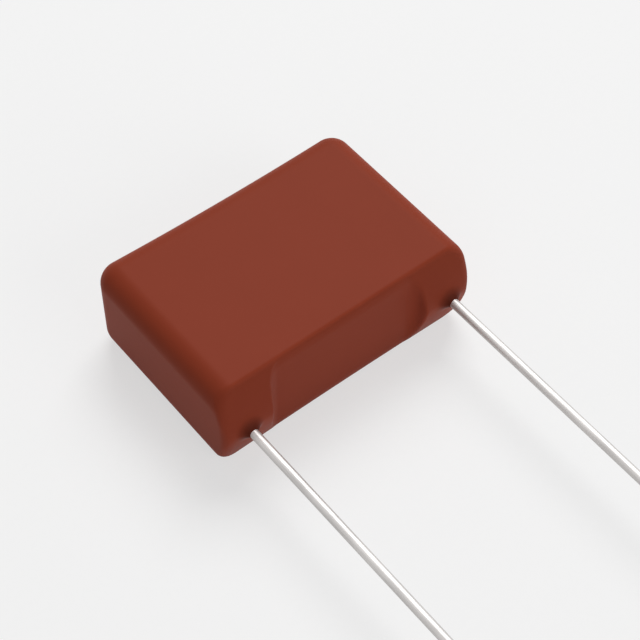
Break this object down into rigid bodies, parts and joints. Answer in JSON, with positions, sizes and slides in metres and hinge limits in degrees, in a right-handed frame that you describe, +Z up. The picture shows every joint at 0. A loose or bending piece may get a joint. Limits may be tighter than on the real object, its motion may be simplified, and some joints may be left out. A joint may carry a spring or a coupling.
{
  "type": "film capacitor",
  "caption": "Resin-dipped film capacitor, a flat brick-red block with rounded edges and a pair of straight tinned wire leads for a printed circuit board.",
  "frame": {"origin": "middle of the large face that the block rests on", "axes": "+X runs along the row of leads, the leads leave towards -Y, and +Z is up through the thickness of the block"},
  "size_m": [0.0184, 0.0356, 0.0068],
  "materials": {
    "epoxy_resin": "dipped and cured, satin with a faint orange peel",
    "metallised_film": "wound and pressed",
    "plain_film": "clear, pale yellow",
    "sprayed_zinc": "flame sprayed, matte and grainy",
    "tinned_wire": "hot tinned, satin"
  },
  "bodies": {
    "root": {"resin_coating": "epoxy_resin", "film_winding": "metallised_film", "outer_wrap": "plain_film", "zinc_contact_left": "sprayed_zinc", "zinc_contact_right": "sprayed_zinc", "lead_left": "tinned_wire", "lead_right": "tinned_wire"}
  },
  "joints": []
}
